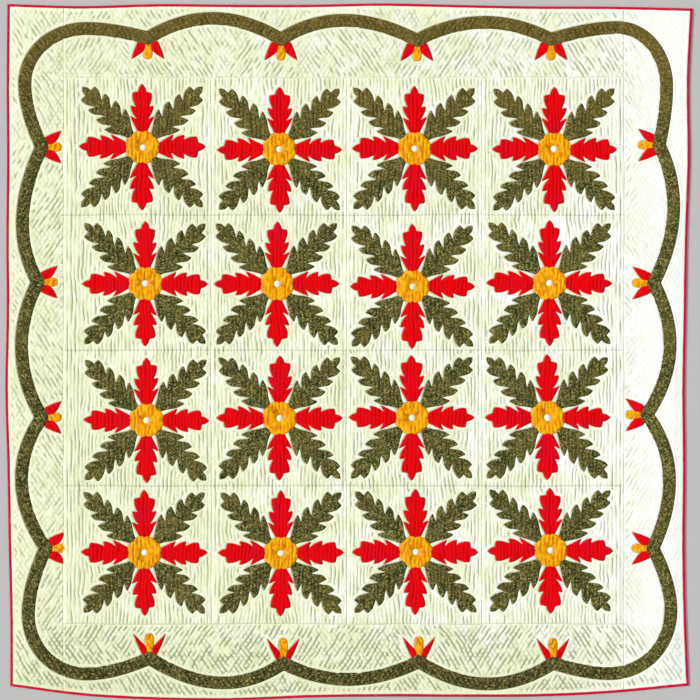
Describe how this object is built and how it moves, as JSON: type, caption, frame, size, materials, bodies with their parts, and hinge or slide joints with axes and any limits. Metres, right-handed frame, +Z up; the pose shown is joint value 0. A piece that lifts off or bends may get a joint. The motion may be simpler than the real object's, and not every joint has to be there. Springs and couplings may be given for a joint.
{
  "type": "applique quilt",
  "caption": "White quilted bed cover with applique blocks of green leaves, red petals and gold rosettes inside a scalloped green vine border, bound in crimson, laid flat.",
  "frame": {"origin": "on the surface the quilt lies on, under the middle of its outline's box", "axes": "+Z up out of the face of the quilt, +Y to its head, +X to its right as seen from the face"},
  "size_m": [2.109, 2.138, 0.0101],
  "materials": {
    "white_muslin": "matt plain-woven cotton, closely hand quilted, age toned",
    "crimson_binding": "matt plain cotton folded over the edge",
    "green_print": "matt cotton print, mottled olive, brown and dark green",
    "red_cotton": "matt plain dyed cotton",
    "gold_cotton": "matt plain dyed cotton"
  },
  "bodies": {
    "root": {"quilt_body": "white_muslin", "binding_top": "crimson_binding", "binding_right": "crimson_binding", "binding_bottom": "crimson_binding", "binding_left": "crimson_binding", "vine": "green_print", "leaves_r1c1": "green_print", "petals_r1c1": "red_cotton", "rosette_r1c1": "gold_cotton", "leaves_r1c2": "green_print", "petals_r1c2": "red_cotton", "rosette_r1c2": "gold_cotton", "leaves_r1c3": "green_print", "petals_r1c3": "red_cotton", "rosette_r1c3": "gold_cotton", "leaves_r1c4": "green_print", "petals_r1c4": "red_cotton", "rosette_r1c4": "gold_cotton", "leaves_r2c1": "green_print", "petals_r2c1": "red_cotton", "rosette_r2c1": "gold_cotton", "leaves_r2c2": "green_print", "petals_r2c2": "red_cotton", "rosette_r2c2": "gold_cotton", "leaves_r2c3": "green_print", "petals_r2c3": "red_cotton", "rosette_r2c3": "gold_cotton", "leaves_r2c4": "green_print", "petals_r2c4": "red_cotton", "rosette_r2c4": "gold_cotton", "leaves_r3c1": "green_print", "petals_r3c1": "red_cotton", "rosette_r3c1": "gold_cotton", "leaves_r3c2": "green_print", "petals_r3c2": "red_cotton", "rosette_r3c2": "gold_cotton", "leaves_r3c3": "green_print", "petals_r3c3": "red_cotton", "rosette_r3c3": "gold_cotton", "leaves_r3c4": "green_print", "petals_r3c4": "red_cotton", "rosette_r3c4": "gold_cotton", "leaves_r4c1": "green_print", "petals_r4c1": "red_cotton", "rosette_r4c1": "gold_cotton", "leaves_r4c2": "green_print", "petals_r4c2": "red_cotton", "rosette_r4c2": "gold_cotton", "leaves_r4c3": "green_print", "petals_r4c3": "red_cotton", "rosette_r4c3": "gold_cotton", "leaves_r4c4": "green_print", "petals_r4c4": "red_cotton", "rosette_r4c4": "gold_cotton"}
  },
  "joints": []
}
